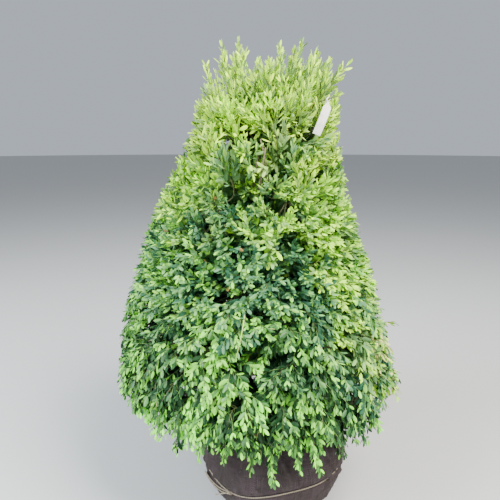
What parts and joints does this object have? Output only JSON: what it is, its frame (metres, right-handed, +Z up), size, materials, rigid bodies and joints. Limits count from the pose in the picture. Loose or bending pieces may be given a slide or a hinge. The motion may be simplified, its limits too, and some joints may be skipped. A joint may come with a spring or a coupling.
{
  "type": "balled-and-burlapped boxwood shrub",
  "caption": "Broad cone-shaped boxwood shrub, dense small oval leaves to the ground, standing on a burlap-wrapped, twine-tied root ball with a blank tag.",
  "frame": {"origin": "centre of the root ball's flat underside, on the ground", "axes": "+Z up along the plant's axis; -Y is the side seen in the picture; +X is to its right"},
  "size_m": [0.6963, 0.7113, 1.1128],
  "materials": {
    "burlap": "matte",
    "twine": "matte",
    "bark": "matte",
    "tag": "matte",
    "foliage_skirt": "satin",
    "foliage_lower": "satin",
    "foliage_middle": "satin",
    "foliage_upper": "satin",
    "foliage_plume": "satin"
  },
  "bodies": {
    "root": {"bough_lower_1": "bark", "bough_lower_2": "bark", "bough_lower_3": "bark", "bough_lower_4": "bark", "bough_lower_5": "bark", "bough_lower_6": "bark", "bough_middle_1": "bark", "bough_middle_2": "bark", "bough_middle_3": "bark", "bough_middle_4": "bark", "bough_middle_5": "bark", "bough_plume_1": "bark", "bough_plume_2": "bark", "bough_plume_3": "bark", "bough_plume_4": "bark", "bough_skirt_1": "bark", "bough_skirt_2": "bark", "bough_skirt_3": "bark", "bough_skirt_4": "bark", "bough_skirt_5": "bark", "bough_skirt_6": "bark", "bough_upper_1": "bark", "bough_upper_2": "bark", "bough_upper_3": "bark", "bough_upper_4": "bark", "bough_upper_5": "bark", "foliage_lower_1": "foliage_lower", "foliage_lower_2": "foliage_lower", "foliage_lower_3": "foliage_lower", "foliage_lower_4": "foliage_lower", "foliage_lower_5": "foliage_lower", "foliage_lower_6": "foliage_lower", "foliage_middle_1": "foliage_middle", "foliage_middle_2": "foliage_middle", "foliage_middle_3": "foliage_middle", "foliage_middle_4": "foliage_middle", "foliage_middle_5": "foliage_middle", "foliage_plume_1": "foliage_plume", "foliage_plume_2": "foliage_plume", "foliage_plume_3": "foliage_plume", "foliage_plume_4": "foliage_plume", "foliage_skirt_1": "foliage_skirt", "foliage_skirt_2": "foliage_skirt", "foliage_skirt_3": "foliage_skirt", "foliage_skirt_4": "foliage_skirt", "foliage_skirt_5": "foliage_skirt", "foliage_skirt_6": "foliage_skirt", "foliage_upper_1": "foliage_upper", "foliage_upper_2": "foliage_upper", "foliage_upper_3": "foliage_upper", "foliage_upper_4": "foliage_upper", "foliage_upper_5": "foliage_upper", "root_ball": "burlap", "tag": "tag", "trunk": "bark", "twine": "twine"}
  },
  "joints": []
}
